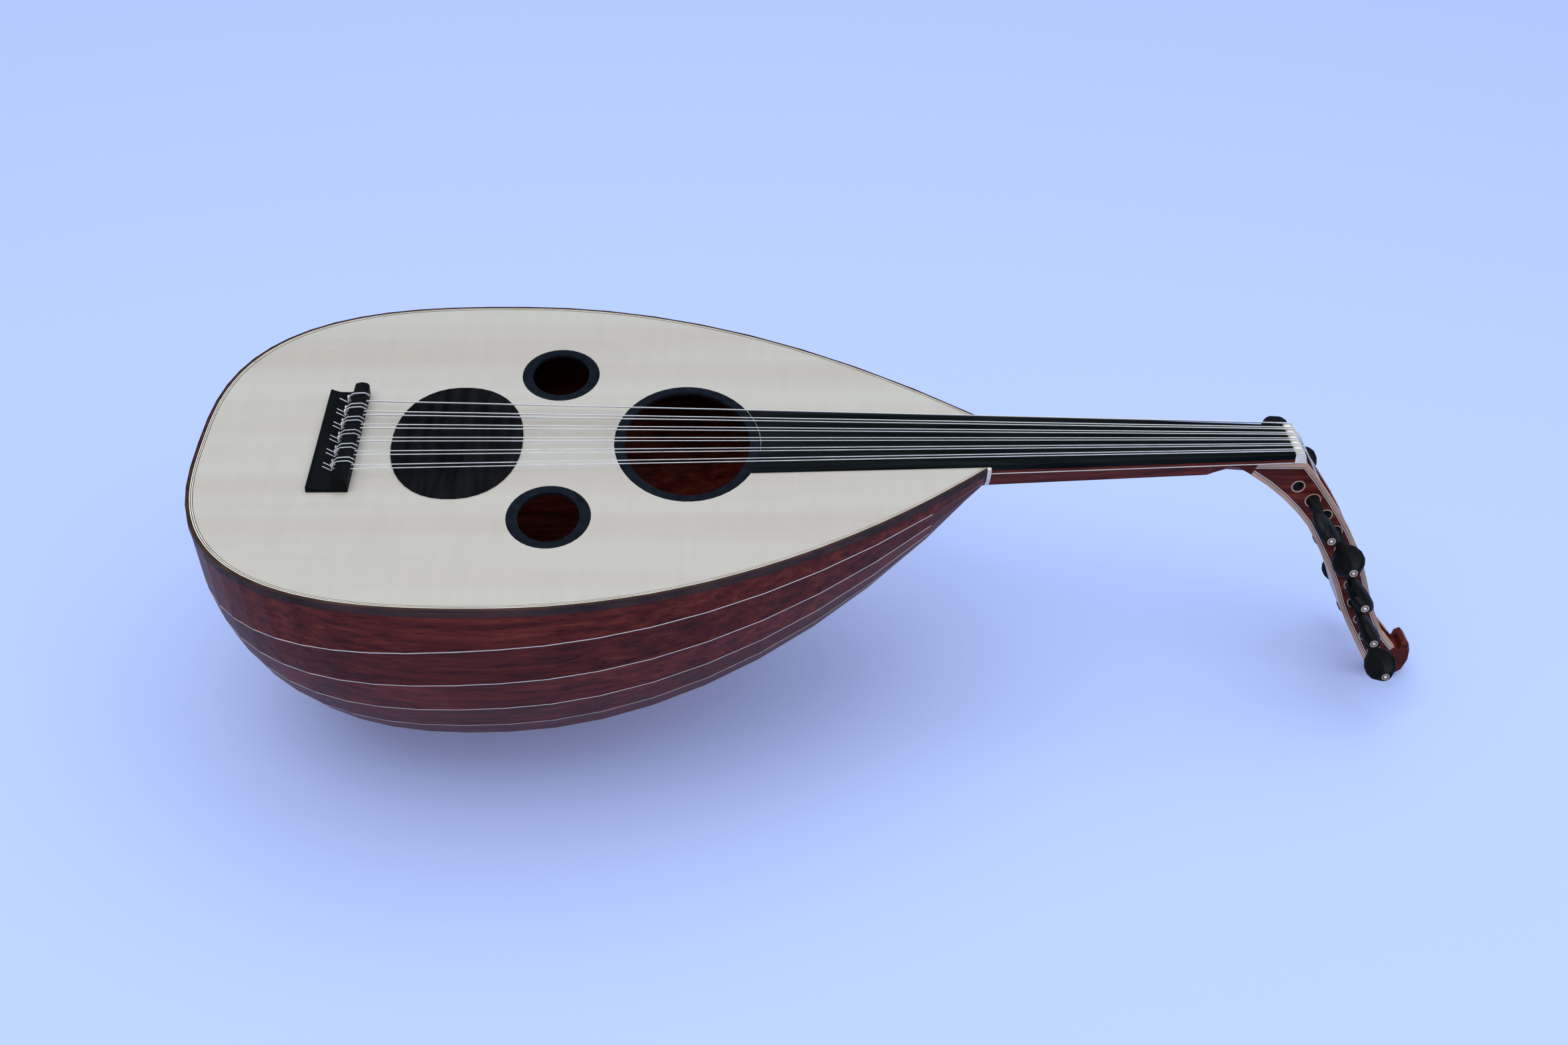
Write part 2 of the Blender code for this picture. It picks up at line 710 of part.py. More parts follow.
def make_pegbox(seat):
    rows = pegbox_edges()
    holes = []
    for number, (x, z) in enumerate(peg_places(), 1):
        hand = -1 if number % 2 == 0 else 1
        half = pegbox_half(z)
        head_radius = PEG_RADIUS + BORE_CLEARANCE
        end_radius = PEG_END_RADIUS + BORE_CLEARANCE
        over = half * 0.2
        slope = (head_radius - end_radius) / (2 * half)
        near = head_radius + slope * over
        far = end_radius - slope * over
        turn = Matrix.Rotation(-hand * math.pi / 2, 4, "X")
        place = Matrix.Translation((x, 0.0, z)) @ turn
        holes.append((place, far, near, 2 * (half + over)))
    bores = cone_cutters("peg_bores", holes, PEG_SIDES + 2, seat)
    for name, hand in (("pegbox_cheek_near", -1), ("pegbox_cheek_far", 1)):
        rings = []
        for (fx, fz), (bx, bz) in rows:
            outer = (hand * pegbox_half(fz), hand * pegbox_half(bz))
            rings.append([(fx, outer[0], fz), (fx, outer[0] - hand * CHEEK_THICKNESS, fz),
                          (bx, outer[1] - hand * CHEEK_THICKNESS, bz), (bx, outer[1], bz)])
        cut(loft(name, rings, "neck", seat), bores)
    make_pegbox_back(seat, rows)


def make_pegbox_back(seat, rows):
    """The pegbox's floor, a strip between the cheeks from the neck's tenon to the tip."""
    rings = []
    for n, ((fx, fz), (bx, bz)) in enumerate(rows):
        if bx < NUT_START_X:
            continue
        share = mix(PEGBOX_FLOOR, PEGBOX_FLOOR_TIP, n / PEGBOX_STATIONS) / math.dist((fx, fz), (bx, bz))
        ix = mix(bx, fx, share)
        iz = mix(bz, fz, share)
        low = tenon_half(bz)
        high = tenon_half(iz)
        rings.append([(bx, -low, bz), (bx, low, bz), (ix, high, iz), (ix, -high, iz)])
    loft("pegbox_back", rings, "maple", seat)


def make_finial(seat, floor):
    """The carved end of the pegbox: a heel on the ground and a beak that curls up over a scoop."""
    rows = pegbox_edges()
    (fx, fz), (bx, bz) = rows[-1]
    low = floor
    tip = FINIAL_TIP_X
    rise = FINIAL_HEIGHT
    shape = [(bx + 2 * GAP, bz - GAP), (mix(bx, tip, 0.18), low + rise * 0.11), (mix(bx, tip, 0.42), low),
             (mix(bx, tip, 0.70), low), (mix(bx, tip, 0.90), low + rise * 0.16), (tip, low + rise * 0.44),
             (mix(bx, tip, 0.99), low + rise * 0.70), (mix(bx, tip, 0.93), low + rise * 0.90),
             (mix(bx, tip, 0.83), low + rise), (mix(bx, tip, 0.74), low + rise * 0.95),
             (mix(bx, tip, 0.70), low + rise * 0.79), (mix(bx, tip, 0.63), low + rise * 0.81),
             (fx + 2 * GAP, fz - GAP / 2)]
    half = FINIAL_WIDTH / 2
    thin = half * 0.78
    centre_x = sum(x for x, z in shape) / len(shape)
    centre_z = sum(z for x, z in shape) / len(shape)
    rings = []
    for y, size in ((-half, 0.86), (-thin, 1.0), (thin, 1.0), (half, 0.86)):
        rings.append([(mix(centre_x, x, size), y, max(mix(centre_z, z, size), low))
                      for x, z in shape])
    loft("finial", rings, "neck", seat)


# Pegs

def peg_radius(y, half):
    """Radius of a peg's shaft at a place across, for a head on the -Y side."""
    share = (y + half) / (2 * half)
    return mix(PEG_RADIUS, PEG_END_RADIUS, min(max(share, 0.0), 1.0))


def make_pegs(seat):
    """Tapered shafts through both cheeks, each with a waisted leaf-shaped head with a flat eye."""
    for number, (x, z) in enumerate(peg_places(), 1):
        half = pegbox_half(z)
        neck = PEG_OUTSIDE - PEG_HEAD_LENGTH
        head = PEG_HEAD_LENGTH
        wide = PEG_HEAD_WIDTH / 2
        thin = PEG_HEAD_THICKNESS / 2
        waist = PEG_WAIST / 2
        stations = [(half - PEG_RECESS, PEG_END_RADIUS, PEG_END_RADIUS), (-half, PEG_RADIUS, PEG_RADIUS),
                    (-half - neck * 0.7, PEG_RADIUS * 0.97, PEG_RADIUS * 0.97),
                    (-half - neck, waist, waist)]
        for along, across, thick in ((0.12, 0.42, 0.68), (0.28, 0.80, 0.84), (0.50, 0.99, 0.96),
                                     (0.68, 1.00, 1.00), (0.85, 0.84, 0.92)):
            stations.append((-half - neck - head * along, wide * across, thin * thick))
        stations.append((-half - PEG_OUTSIDE, PEG_EYE_RADIUS * 1.25, PEG_EYE_RADIUS))
        rings = []
        for y, across, thick in stations:
            ring = []
            for n in range(PEG_SIDES):
                angle = 2 * math.pi * (n + 0.5) / PEG_SIDES
                ring.append((across * math.cos(angle), y, thick * math.sin(angle)))
            rings.append(ring)
        peg = loft("peg_%02d" % number, rings, "ebony", seat)
        peg.location = (x, 0.0, z)
        side = 0.0 if number % 2 == 0 else math.pi
        tilt = math.radians(HEAD_TURNS[number - 1])
        peg.rotation_euler = (Matrix.Rotation(-tilt, 3, "Y") @ Matrix.Rotation(side, 3, "Z")).to_euler()


# Strings

def front_normals(places):
    normals = []
    for n in range(len(places)):
        ax, az = places[max(n - 1, 0)]
        bx, bz = places[min(n + 1, len(places) - 1)]
        length = math.dist((ax, az), (bx, bz))
        normals.append(((az - bz) / length, (bx - ax) / length))
    return normals


def taut_points(start, fronts):
    """The stretched line from start to the last point, lying in front of the points between."""
    path = []
    here = start
    n = 0
    while n < len(fronts):
        best = n
        for k in range(n, len(fronts)):
            ahead = math.atan2(fronts[k][1] - here[1], fronts[k][0] - here[0])
            held = math.atan2(fronts[best][1] - here[1], fronts[best][0] - here[0])
            if ahead >= held:
                best = k
        path.append(fronts[best])
        here = fronts[best]
        n = best + 1
    return path


def string_route(number, bridge_y, nut_y, radius):
    """From the loop on the tie block over the nut to the turn round the string's peg."""
    hole = GAP + TIE_HOLE_HEIGHT
    top = GAP + TIE_BLOCK_HEIGHT + GAP + radius
    back = -TIE_BLOCK_LENGTH
    off = 0.0012 + radius
    side = radius + GAP
    loop = [(off, 3.6, hole + 0.0022), (off * 0.9, 3.0, top - 0.0016), (-0.0012, 2.4, top + 0.0002),
            (back * 0.5, 1.8, top + GAP), (back + 0.0012, 1.2, top + 0.0002),
            (back - off * 0.9, 0.7, top - 0.0018), (back - off, 0.3, hole + 0.0018),
            (back - 0.0007, 0.0, hole), (0.0007, 0.0, hole)]
    route = [(x, bridge_y + side * shift, z) for x, shift, z in loop]
    nut_top = FINGERBOARD_TOP + NUT_RISE + radius + STRING_RISE + GAP
    route.append((NUT_START_X + 0.0005, nut_y, nut_top))
    route.append((mix(NUT_START_X, NUT_END_X, 0.6), nut_y, nut_top))
    places = peg_places()
    normals = front_normals(places)
    peg = PEG_OF_STRING[number - 1] - 1
    fronts = []
    for (x, z), (nx, nz) in zip(places[:peg + 1], normals):
        clear = PEG_RADIUS + BORE_CLEARANCE + radius
        fronts.append((x + nx * clear, z + nz * clear))
    leave = (NUT_END_X + radius + 2 * GAP, FINGERBOARD_TOP - 0.0015)
    line = [leave] + taut_points(leave, fronts)
    reach = places[peg][1]
    for x, z in line:
        squeeze = (tenon_half(max(z, reach)) - TROUGH_MARGIN) / BASS_AT_NUT
        route.append((x, nut_y * squeeze, z))
    px, pz = places[peg]
    nx, nz = normals[peg]
    along = (nz, -nx)
    clear = PEG_RADIUS + BORE_CLEARANCE + radius
    last_y = route[-1][1]
    for n in range(1, WRAP_STEPS + 1):
        angle = math.radians(WRAP_ANGLE) * n / WRAP_STEPS
        c = math.cos(angle) * clear / math.cos(math.radians(WRAP_ANGLE) / WRAP_STEPS / 2)
        s = math.sin(angle) * clear / math.cos(math.radians(WRAP_ANGLE) / WRAP_STEPS / 2)
        route.append((px + nx * c + along[0] * s, last_y, pz + nz * c + along[1] * s))
    return route


def make_strings(seat):
    at_bridge = string_places(PAIR_SPACING_BRIDGE, PAIR_GAP_BRIDGE, BASS_AT_BRIDGE)
    at_nut = string_places(PAIR_SPACING_NUT, PAIR_GAP_NUT, BASS_AT_NUT)
    for number in range(1, len(at_bridge) + 1):
        radius = STRING_DIAMETERS[number // 2] / 2
        route = string_route(number, at_bridge[number - 1], at_nut[number - 1], radius)
        curve = bpy.data.curves.new("string_%02d" % number, "CURVE")
        curve.dimensions = "3D"
        curve.bevel_depth = radius
        curve.bevel_resolution = 1
        curve.use_fill_caps = True
        spline = curve.splines.new("POLY")
        spline.points.add(len(route) - 1)
        for point, place in zip(spline.points, route):
            point.co = (*place, 1.0)
        add_part("string_%02d" % number, curve, "wound" if number <= 7 else "nylon", seat)


def main():
    clear_scene()
    seat = bpy.data.objects.new("oud_seat", None)
    body_parts.objects.link(seat)
    floor = make_ribs(seat)
    seat.location = ((TAIL_LENGTH - FINIAL_TIP_X) / 2, 0.0, -floor)
    bpy.context.view_layer.update()
    make_binding(seat)
    make_soundboard(seat)
    make_rings(seat)
    make_inside(seat)
    make_bridge(seat)
    make_fingerboard(seat)
    make_collar(seat)
    make_neck(seat)
    make_nut(seat)
    make_pegbox(seat)
    make_finial(seat, floor)
    make_pegs(seat)
    make_strings(seat)


main()
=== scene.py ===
"""Arabic oud on a pale floor: materials, inlays, pegs' trim, string windings, light and camera."""
import json
import math

import bmesh
import bpy
from mathutils import Matrix, Vector


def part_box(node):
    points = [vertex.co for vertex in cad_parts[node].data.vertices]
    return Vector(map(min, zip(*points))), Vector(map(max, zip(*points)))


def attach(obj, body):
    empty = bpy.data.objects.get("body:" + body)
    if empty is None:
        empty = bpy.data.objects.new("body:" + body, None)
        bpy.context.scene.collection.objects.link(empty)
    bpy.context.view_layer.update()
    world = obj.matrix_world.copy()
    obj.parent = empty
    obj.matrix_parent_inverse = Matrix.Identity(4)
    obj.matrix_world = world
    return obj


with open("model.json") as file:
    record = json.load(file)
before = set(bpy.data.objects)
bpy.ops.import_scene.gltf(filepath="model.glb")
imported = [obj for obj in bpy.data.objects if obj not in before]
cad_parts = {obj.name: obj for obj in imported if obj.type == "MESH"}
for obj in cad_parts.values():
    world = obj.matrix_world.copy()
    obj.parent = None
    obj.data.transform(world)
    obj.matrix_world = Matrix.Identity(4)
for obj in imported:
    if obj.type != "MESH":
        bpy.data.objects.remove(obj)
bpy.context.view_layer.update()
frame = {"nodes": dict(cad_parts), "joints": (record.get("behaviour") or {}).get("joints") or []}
nodes = frame["nodes"]

# Seat of the instrument's own frame, whose origin is on the soundboard at the bridge's front line
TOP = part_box("soundboard")[1].z
SEAT = Vector((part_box("bridge")[1].x, 0.0, TOP))

# Body sizes, as in the solid model
TAIL_LENGTH = 0.103
JOINT_X = 0.405
BODY_HALF = 0.1795
BODY_DEPTH = 0.195
WIDEST_X = 0.095
DEEPEST_X = 0.080
JOINT_HALF = 0.033
JOINT_DEPTH = 0.026
TAIL_FULLNESS_PLAN = 2.8
TAIL_FULLNESS_SIDE = 2.4
SEAM_DROP_TAIL = 0.045
SEAM_DROP_NECK = 0.010
RIB_COUNT = 19
BINDING_PROUD = 0.0004
BOARD_INSET = 0.0025
TIE_BLOCK_LENGTH = 0.0095
STATION_POWER = 1.15

# Neck and pegbox sizes, as in the solid model
STRING_LENGTH = 0.610
NECK_JOINT_HALF = 0.03075
NUT_HALF = 0.01825
TIP_HALF = 0.011
TIP_DROP = 0.175
CHEEK_THICKNESS = 0.0042
PEGBOX_ROOT = 0.041
PEGBOX_TOP = -0.0058
PEGBOX_STATIONS = 14
ROOT_STATIONS = 3
ROOT_GAP = 0.001
LEAST_CHEEK_HEIGHT = 0.0003
PEGBOX_OPEN_EDGE = [(0.0085, -0.0053), (0.0277, -0.0305), (0.0475, -0.0599), (0.0639, -0.0918),
                    (0.0754, -0.1228), (0.0894, -0.1510), (0.1013, -0.1654)]
PEGBOX_BACK_EDGE = [(-0.0405, -0.0058), (-0.0100, -0.0270), (0.0154, -0.0528), (0.0296, -0.0757),
                    (0.0452, -0.1043), (0.0585, -0.1355), (0.0850, -0.1830)]
CURVE_SAMPLES = 12
LENGTH_TOLERANCE = 1e-12

# Pegs and strings, as in the solid model
PEG_COUNT = 11
PEG_RADIUS = 0.0041
PEG_END_RADIUS = 0.0033
PEG_OUTSIDE = 0.047
STRING_COUNT = 11
WOUND_STRINGS = 7
STRING_DIAMETERS = (0.0011, 0.0010, 0.0009, 0.0008, 0.0007, 0.0007)
PEG_OF_STRING = (11, 1, 7, 2, 8, 3, 9, 4, 10, 5, 6)

# How far inlaid lines stand out of the wood round them
PROUD = 0.00012
EDGE_PROUD = 0.00015

# Lines between the ribs; the share of their width that they have at the tail grows by so much a metre
SEAM_WIDTH = 0.0006
SEAM_FOOT_INSET = 0.0012
SEAM_START_X = -0.0985
SEAM_END_GAP = 0.0004
SEAM_STATIONS = 24
SEAM_LEAST_DEPTH = 0.05
SEAM_TAIL_SHARE = 0.25
SEAM_WIDENING = 12

# Purfling: start and end of each line, measured in from the soundboard's edge, and its look
PURFLING_LINES = ((0.0000, 0.0006, "pale_inlay"), (0.0006, 0.0011, "dark_inlay"),
                  (0.0011, 0.0017, "pale_inlay"), (0.0017, 0.0021, "dark_inlay"))
PURFLING_DEPTH = 0.0005
PURFLING_END_GAP = 0.0006
PURFLING_STATIONS = 60

# Pegbox strips: look, start and end measured in from the cheek's edge, and reach over that edge
PEGBOX_STRIPS = (("border", 0.0, 0.0029, 0.0044), ("dark_inlay", 0.0029, 0.0034, 0.0),
                 ("pale_inlay", 0.0034, 0.0039, 0.0))
STRIP_DEPTH = 0.0007
WRAP_DEPTH = 0.0005
SIDES = (("near", -1), ("far", 1))

# Lines along the neck; a line is as deep as it is wide
NECK_LINE_Z = -0.0045
NECK_LINE_WIDTH = 0.0006
NECK_LINE_START = 0.003
NECK_LINE_END_GAP = 0.0004
NECK_LINE_STEPS = 4

# Peg trim; the eye's profiles are (out of the peg's end, radius) points
BUSHING_WIDTH = 0.0010
BUSHING_GAP = 0.0005
BUSHING_RISE = 0.0003
BUSHING_BEVEL = 0.0001
BUSHING_SIDES = 28
EYE_RING = ((-0.0004, 0.0028), (0.0003, 0.0028), (0.0003, 0.0019), (-0.0004, 0.0019))
EYE_RING_SIDES = 20
EYE_PEARL = ((-0.0004, 0.0012), (0.0003, 0.0012), (0.0005, 0.0004))
EYE_PEARL_SIDES = 16

# String windings; the pitch is in string radii and the start in pitches
WINDING_TURNS = 4
WINDING_PITCH = 2.15
WINDING_START = 1.05
WINDING_GAP = 0.0002
WINDING_MARGIN = 0.0012
TURN_POINTS = 20
WRAP_REACH = 0.0016

# Twisted string ends; their width is in string radii, and what lies further than TIED_X behind the
# bridge's front line is the tied part. The loose end has (behind the tie block, aside, height) points
TIED_X = 0.004
TWIST_STEPS = 25
TWIST_ANGLE = 4.6 * math.pi
TWIST_RADII = 1.9
TWIST_BACK = 0.0019
TWIST_SWAY = 0.0007
TWIST_SIDE = 0.0006
TWIST_TOP = 0.0089
TWIST_DROP = 0.0052
LOOSE_END = ((0.0046, 0.0016, 0.0036), (0.0085, 0.0026, 0.0052))
TAIL_THICKNESS = 0.85
WIRE_RESOLUTION = 2

# Smooth shading ends at edges sharper than these, in degrees
NODE_CREASE = 32
TRIM_CREASE = 35

# Camera, in the instrument's own frame
CAMERA_PLACE = Vector((0.2085, -1.1066, 0.7156))
CAMERA_RIGHT = Vector((0.9987, -0.0425, 0.0271))
CAMERA_UP = Vector((0.0023, 0.5761, 0.8174))
CAMERA_LENS = 46.29
CAMERA_SENSOR = 36.0

# Lights: name, place, target, size, watts and colour
LIGHTS = (("key", (-0.7, -0.9, 1.9), (0.0, 0.0, 0.1), (1.6, 1.1), 14.0, (1.0, 0.97, 0.94)),
          ("fill", (1.3, -0.8, 1.3), (0.1, 0.0, 0.1), (1.2, 1.2), 6.0, (0.92, 0.95, 1.0)),
          ("top", (0.1, 0.3, 2.4), (0.0, 0.0, 0.1), (2.4, 1.6), 11.0, (1.0, 1.0, 1.0)))

# Sky that lights the object, as height and colour, and the plain tone that the camera sees
SKY_STOPS = ((0.50, (0.20, 0.22, 0.26, 1.0)), (0.84, (0.84, 0.91, 1.0, 1.0)))
SKY_STRENGTH = 1.35
SEEN_SKY = (0.46, 0.57, 0.98, 1.0)

# Floor
FLOOR_RADIUS = 60.0
FLOOR_SIDES = 64
FLOOR_DROP = 0.0006
FLOOR_COLOURS = ((0.32, 0.42, 0.70, 1.0), (0.37, 0.47, 0.75, 1.0))
FLOOR_WASH_SCALE = 0.8
FLOOR_ROUGHNESS = 0.8
FLOOR_SPECULAR = 0.1
FLOOR_GLOW = (0.50, 0.54, 1.0, 1.0)
FLOOR_GLOW_STRENGTH = 0.25

# Grain directions: a small share draws a texture out along that axis
EVEN = (1, 1, 1)
LENGTHWISE = (0.08, 1.0, 1.0)
CROSSWISE = (1.0, 0.1, 1.0)

# Tones that tell neighbouring ribs apart, the neck's tone, and values that several materials share
RIB_TONES = (1.0, 0.86, 1.12, 0.94)
NECK_TONE = 0.9
WHITE = (1.0, 1.0, 1.0)
COAT_ROUGHNESS = 0.12


# Camera and light

def place_camera():
    data = bpy.data.cameras.new("camera")
    data.lens = CAMERA_LENS
    data.sensor_width = CAMERA_SENSOR
    camera = bpy.data.objects.new("camera", data)
    bpy.context.scene.collection.objects.link(camera)
    right = CAMERA_RIGHT.normalized()
    back = right.cross(CAMERA_UP).normalized()
    up = back.cross(right)
    turn = Matrix((right, up, back)).transposed()
    camera.matrix_world = Matrix.Translation(CAMERA_PLACE + SEAT) @ turn.to_4x4()
    bpy.context.scene.camera = camera


def area_light(name, place, target, size, power, colour):
    data = bpy.data.lights.new(name, "AREA")
    data.shape = "RECTANGLE"
    data.size = size[0]
    data.size_y = size[1]
    data.energy = power
    data.color = colour
    light = bpy.data.objects.new(name, data)
    bpy.context.scene.collection.objects.link(light)
    light.location = place
    light.rotation_euler = (Vector(target) - Vector(place)).to_track_quat("-Z", "Y").to_euler()


def make_sky():
    """A sky that brightens upwards; the camera alone sees a plain tone instead."""
    world = bpy.data.worlds.new("room")
    bpy.context.scene.world = world
    world.use_nodes = True
    tree = world.node_tree
    back = tree.nodes["Background"]
    place = tree.nodes.new("ShaderNodeTexCoord")
    height = tree.nodes.new("ShaderNodeSeparateXYZ")
    sky = tree.nodes.new("ShaderNodeValToRGB")
    for element, (level, colour) in zip(sky.color_ramp.elements, SKY_STOPS):
        element.position = level
        element.color = colour
    tree.links.new(place.outputs["Generated"], height.inputs["Vector"])
    tree.links.new(height.outputs["Z"], sky.inputs["Fac"])
    tree.links.new(sky.outputs["Color"], back.inputs["Color"])
    back.inputs["Strength"].default_value = SKY_STRENGTH
    seen = tree.nodes.new("ShaderNodeBackground")
    seen.inputs["Color"].default_value = SEEN_SKY
    rays = tree.nodes.new("ShaderNodeLightPath")
    choice = tree.nodes.new("ShaderNodeMixShader")
    tree.links.new(rays.outputs["Is Camera Ray"], choice.inputs["Fac"])
    tree.links.new(back.outputs["Background"], choice.inputs[1])
    tree.links.new(seen.outputs["Background"], choice.inputs[2])
    tree.links.new(choice.outputs["Shader"], tree.nodes["World Output"].inputs["Surface"])


def floor_look():
    look = bpy.data.materials.new("floor")
    look.use_nodes = True
    tree = look.node_tree
    shader = tree.nodes["Principled BSDF"]
    shader.inputs["Roughness"].default_value = FLOOR_ROUGHNESS
    shader.inputs["Specular IOR Level"].default_value = FLOOR_SPECULAR
    wash = tree.nodes.new("ShaderNodeTexNoise")
    wash.inputs["Scale"].default_value = FLOOR_WASH_SCALE
    ramp = tree.nodes.new("ShaderNodeValToRGB")
    for element, colour in zip(ramp.color_ramp.elements, FLOOR_COLOURS):
        element.color = colour
    shader.inputs["Emission Color"].default_value = FLOOR_GLOW
    shader.inputs["Emission Strength"].default_value = FLOOR_GLOW_STRENGTH
    tree.links.new(wash.outputs["Fac"], ramp.inputs["Fac"])
    tree.links.new(ramp.outputs["Color"], shader.inputs["Base Color"])
    return look


def make_floor():
    shape = bmesh.new()
    bmesh.ops.create_circle(shape, cap_ends=True, segments=FLOOR_SIDES, radius=FLOOR_RADIUS)
    mesh = bpy.data.meshes.new("floor")
    shape.to_mesh(mesh)
    shape.free()
    floor = bpy.data.objects.new("floor", mesh)
    bpy.context.scene.collection.objects.link(floor)
    floor.location.z = -FLOOR_DROP
    floor.data.materials.append(floor_look())


def make_room():
    bpy.context.scene.view_settings.view_transform = "Standard"
    make_sky()
    for light in LIGHTS:
        area_light(*light)
    make_floor()


# Materials

class Look:
    """A material whose colour, roughness and bump come from layered procedural textures."""

    def __init__(self, name, roughness, metallic=0.0, coat=0.0, specular=0.5):
        self.material = bpy.data.materials.new(name)
        self.material.use_nodes = True
        self.tree = self.material.node_tree
        self.shader = self.tree.nodes["Principled BSDF"]
        self.shader.inputs["Metallic"].default_value = metallic
        self.shader.inputs["Coat Weight"].default_value = coat
        self.shader.inputs["Coat Roughness"].default_value = COAT_ROUGHNESS
        self.shader.inputs["Specular IOR Level"].default_value = specular
        self.shader.inputs["Roughness"].default_value = roughness
        self.place = self.node("ShaderNodeTexCoord").outputs["Object"]
        self.colour = None

    def node(self, kind, **values):
        made = self.tree.nodes.new(kind)
        for key, value in values.items():
            made.inputs[key.replace("_", " ")].default_value = value
        return made

    def stretched(self, stretch):
        """The piece's own coordinates, scaled along each axis."""
        mapping = self.node("ShaderNodeMapping")
        mapping.inputs["Scale"].default_value = stretch
        self.tree.links.new(self.place, mapping.inputs["Vector"])
        return mapping.outputs["Vector"]

    def noise(self, scale, detail=4.0, stretch=EVEN, distortion=0.0):
        place = self.stretched(stretch)
        noise = self.node("ShaderNodeTexNoise", Scale=scale, Detail=detail, Distortion=distortion)
        self.tree.links.new(place, noise.inputs["Vector"])
        return noise.outputs["Fac"]

    def bands(self, scale, axis, distortion, stretch=EVEN):
        place = self.stretched(stretch)
        wave = self.node("ShaderNodeTexWave", Scale=scale, Distortion=distortion, Detail=2.0)
        wave.bands_direction = axis
        self.tree.links.new(place, wave.inputs["Vector"])
        return wave.outputs["Fac"]

    def ramp(self, source, *stops):
        ramp = self.node("ShaderNodeValToRGB")
        elements = ramp.color_ramp.elements
        while len(elements) < len(stops):
            elements.new(0.5)
        for element, (level, colour) in zip(elements, stops):
            element.position = level
            element.color = (*colour, 1.0)
        self.tree.links.new(source, ramp.inputs["Fac"])
        return ramp.outputs["Color"]

    def paint(self, colour, blend="MIX", strength=1.0):
        """Lay a colour over what is there; the first colour is the ground."""
        if self.colour is None:
            self.colour = colour
            return self
        layers = self.node("ShaderNodeMix")
        layers.data_type = "RGBA"
        layers.blend_type = blend
        layers.inputs["Factor"].default_value = strength
        self.tree.links.new(self.colour, layers.inputs["A"])
        self.tree.links.new(colour, layers.inputs["B"])
        self.colour = layers.outputs["Result"]
        return self

    def rough(self, source, low, high):
        spread = self.node("ShaderNodeMapRange", To_Min=low, To_Max=high)
        self.tree.links.new(source, spread.inputs["Value"])
        self.tree.links.new(spread.outputs["Result"], self.shader.inputs["Roughness"])
        return self

    def bump(self, source, strength, distance):
        bump = self.node("ShaderNodeBump", Strength=strength, Distance=distance)
        self.tree.links.new(source, bump.inputs["Height"])
        self.tree.links.new(bump.outputs["Normal"], self.shader.inputs["Normal"])
        return self

    def done(self):
        self.tree.links.new(self.colour, self.shader.inputs["Base Color"])
        return self.material


def shade(colour, share):
    return tuple(channel * share for channel in colour)


def mahogany(name, tone):
    """Red-brown ribs: long grain, short dark flecks and a faint cross figure."""
    look = Look(name, roughness=0.36, coat=0.04, specular=0.06)
    grain = look.noise(scale=210.0, detail=6.0, stretch=(0.07, 1.0, 1.0), distortion=0.2)
    look.paint(look.ramp(grain, (0.30, shade((0.052, 0.008, 0.006), tone)),
                         (0.55, shade((0.120, 0.019, 0.012), tone)),
                         (0.80, shade((0.200, 0.042, 0.024), tone))))
    flecks = look.noise(scale=620.0, detail=2.0, stretch=(0.10, 1.0, 1.0))
    look.paint(look.ramp(flecks, (0.34, (0.45, 0.36, 0.34)), (0.46, WHITE)),
               blend="MULTIPLY", strength=0.75)
    figure = look.noise(scale=34.0, detail=2.0, stretch=(1.0, 0.25, 0.25))
    look.paint(look.ramp(figure, (0.35, (0.78, 0.74, 0.74)), (0.65, (1.12, 1.10, 1.08))),
               blend="MULTIPLY", strength=0.6)
    return look.rough(grain, low=0.34, high=0.48).bump(flecks, strength=0.12, distance=0.0004).done()


def spruce(name, pale):
    """Pale straight-grained spruce with fine dark winter lines and pinkish streaks."""
    look = Look(name, roughness=0.5, coat=0.12)
    lines = look.bands(scale=300.0, axis="Y", distortion=1.6, stretch=(0.02, 1.0, 0.3))
    look.paint(look.ramp(lines, (0.0, shade(pale, 0.90)), (0.35, pale), (1.0, shade(pale, 1.03))))
    streaks = look.noise(scale=26.0, detail=5.0, stretch=(0.05, 1.0, 1.0))
    look.paint(look.ramp(streaks, (0.35, (0.90, 0.82, 0.80)), (0.62, WHITE)),
               blend="MULTIPLY", strength=0.7)
    silk = look.noise(scale=140.0, detail=3.0, stretch=CROSSWISE)
    look.paint(look.ramp(silk, (0.3, (0.95, 0.95, 0.95)), (0.7, (1.03, 1.03, 1.03))),
               blend="MULTIPLY", strength=0.5)
    return look.rough(streaks, low=0.46, high=0.60).bump(lines, strength=0.06, distance=0.0003).done()


def black_wood(name, base, pale, roughness, coat, stretch=LENGTHWISE):
    """Near-black wood whose grain lightens to pale, with cloudy wear in its tone and gloss."""
    look = Look(name, roughness=roughness, coat=coat, specular=0.0)
    grain = look.noise(scale=160.0, detail=5.0, stretch=stretch, distortion=0.2)
    look.paint(look.ramp(grain, (0.35, base), (0.75, pale)))
    wear = look.noise(scale=22.0, detail=3.0)
    look.paint(look.ramp(wear, (0.4, (0.85, 0.85, 0.85)), (0.75, (1.35, 1.3, 1.3))),
               blend="MULTIPLY", strength=0.6)
    look.rough(wear, low=roughness * 0.75, high=roughness * 1.3)
    return look.bump(grain, strength=0.08, distance=0.0003).done()


def plain_wood(name, dark, pale, roughness=0.4):
    look = Look(name, roughness=roughness, coat=0.25)
    grain = look.noise(scale=110.0, detail=5.0, stretch=(0.2, 1.0, 0.2), distortion=0.4)
    look.paint(look.ramp(grain, (0.3, dark), (0.75, pale)))
    look.rough(grain, low=roughness * 0.8, high=roughness * 1.2)
    return look.bump(grain, strength=0.08, distance=0.0003).done()


